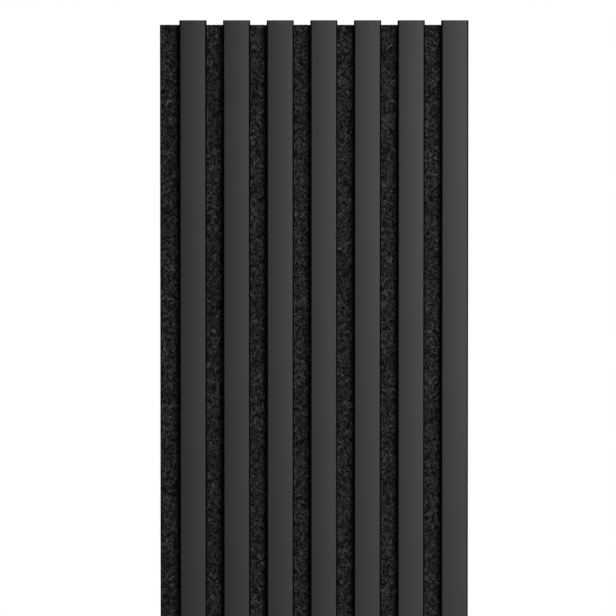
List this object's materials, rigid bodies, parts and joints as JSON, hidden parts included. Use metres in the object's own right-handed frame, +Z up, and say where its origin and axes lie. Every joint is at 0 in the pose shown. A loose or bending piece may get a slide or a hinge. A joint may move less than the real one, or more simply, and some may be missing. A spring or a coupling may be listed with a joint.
{
  "type": "acoustic panel",
  "caption": "Upright slatted acoustic wall panel: dark bevelled slats with charcoal facings, stapled to a black felt backing.",
  "frame": {"origin": "centre of the felt's back face, which lies on the wall", "axes": "+X to the right as seen from the front, +Y into the wall, +Z up along the slats; the front faces -Y"},
  "size_m": [0.3, 0.0209, 2.4],
  "materials": {
    "felt": "needled felt, matt",
    "core": "black fibreboard, lacquered edges",
    "facing": "smooth satin charcoal foil",
    "staple_wire": "galvanised wire"
  },
  "bodies": {
    "root": {"felt_backing": "felt", "slat_core_1": "core", "slat_face_1": "facing", "staples_1": "staple_wire", "slat_core_2": "core", "slat_face_2": "facing", "staples_2": "staple_wire", "slat_core_3": "core", "slat_face_3": "facing", "staples_3": "staple_wire", "slat_core_4": "core", "slat_face_4": "facing", "staples_4": "staple_wire", "slat_core_5": "core", "slat_face_5": "facing", "staples_5": "staple_wire", "slat_core_6": "core", "slat_face_6": "facing", "staples_6": "staple_wire", "slat_core_7": "core", "slat_face_7": "facing", "staples_7": "staple_wire"}
  },
  "joints": []
}
